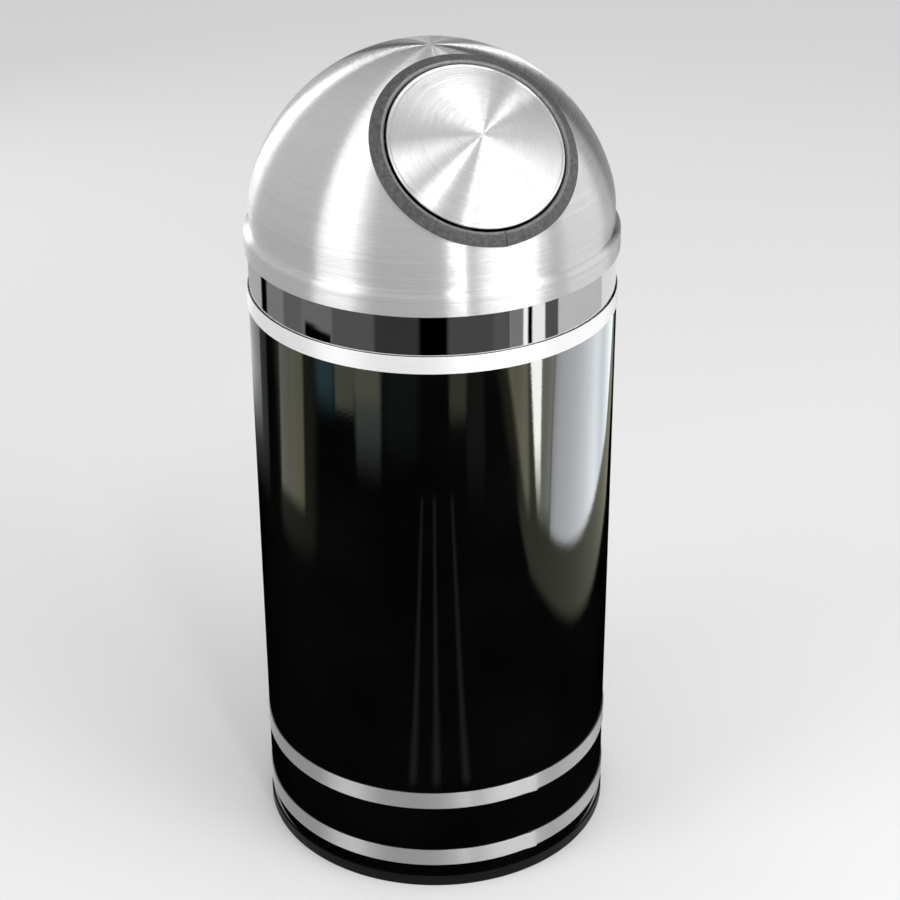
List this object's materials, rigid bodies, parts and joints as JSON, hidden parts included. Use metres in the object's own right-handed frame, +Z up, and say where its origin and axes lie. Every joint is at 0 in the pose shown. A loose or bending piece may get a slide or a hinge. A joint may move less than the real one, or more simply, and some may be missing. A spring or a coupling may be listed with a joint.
{
  "type": "dome top waste receptacle",
  "caption": "Round floor waste receptacle: a black cylindrical body with satin bands, a mirror collar and a lift-off spun dome with a self-closing push door.",
  "frame": {"origin": "middle of the base, on the floor", "axes": "+Z up, the door faces -Y, +X to the right of the door's back"},
  "size_m": [0.385, 0.385, 0.889],
  "materials": {
    "black_enamel": "gloss baked enamel",
    "black_vinyl": "matte",
    "grey_vinyl": "fine-grained satin",
    "satin_dome": "spun satin, circular grain",
    "satin_band": "satin, lengthwise grain",
    "mirror_collar": "mirror polished",
    "galvanised": "galvanised",
    "zinc_wire": "zinc plated",
    "rivet_metal": "plain",
    "spring_steel": "drawn wire",
    "pad_rubber": "matte"
  },
  "bodies": {
    "body": {"base_ring": "black_vinyl", "body_shell": "black_enamel", "floor_pan": "galvanised", "pan_rivets": "rivet_metal", "lower_band": "satin_band", "middle_band": "satin_band", "upper_band": "satin_band", "neck_collar": "mirror_collar", "collar_rivets": "rivet_metal"},
    "liner": {"liner_tub": "galvanised", "liner_bottom": "galvanised", "handle_ears_left": "galvanised", "handle_ears_right": "galvanised", "liner_rivets": "rivet_metal"},
    "handle_left": {"liner_handle_left": "zinc_wire"},
    "handle_right": {"liner_handle_right": "zinc_wire"},
    "dome": {"dome_shell": "satin_dome", "door_trim": "grey_vinyl", "hinge_bracket": "zinc_wire", "bracket_studs": "rivet_metal", "bracket_nuts": "rivet_metal", "hinge_pin": "rivet_metal"},
    "door": {"door_panel": "satin_dome", "hinge_leaf": "zinc_wire", "leaf_studs": "rivet_metal", "leaf_nuts": "rivet_metal", "door_spring_left": "spring_steel", "door_spring_right": "spring_steel", "door_stops": "black_enamel", "stop_pads": "pad_rubber"}
  },
  "joints": [
    {"name": "liner_lift", "type": "slide", "parent": "body", "child": "liner", "axis": [0, 0, 1], "range_m": [0, 0.7]},
    {"name": "dome_lift", "type": "slide", "parent": "liner", "child": "dome", "axis": [0, 0, 1], "range_m": [0, 0.3]},
    {"name": "door_swing", "type": "hinge", "parent": "dome", "child": "door", "pos_m": [0, -0.05056, 0.86976], "axis": [1, 0, 0], "range_deg": [0, 65], "stiffness_Nm_per_rad": 0.12, "springref_deg": -71.62, "deforming": ["door_spring_left", "door_spring_right"]},
    {"name": "handle_right_swing", "type": "hinge", "parent": "liner", "child": "handle_right", "pos_m": [0.154, 0, 0.5855], "axis": [0, 1, 0], "range_deg": [-6, 190]},
    {"name": "handle_left_swing", "type": "hinge", "parent": "liner", "child": "handle_left", "pos_m": [-0.154, 0, 0.5855], "axis": [0, -1, 0], "range_deg": [-6, 190]}
  ]
}
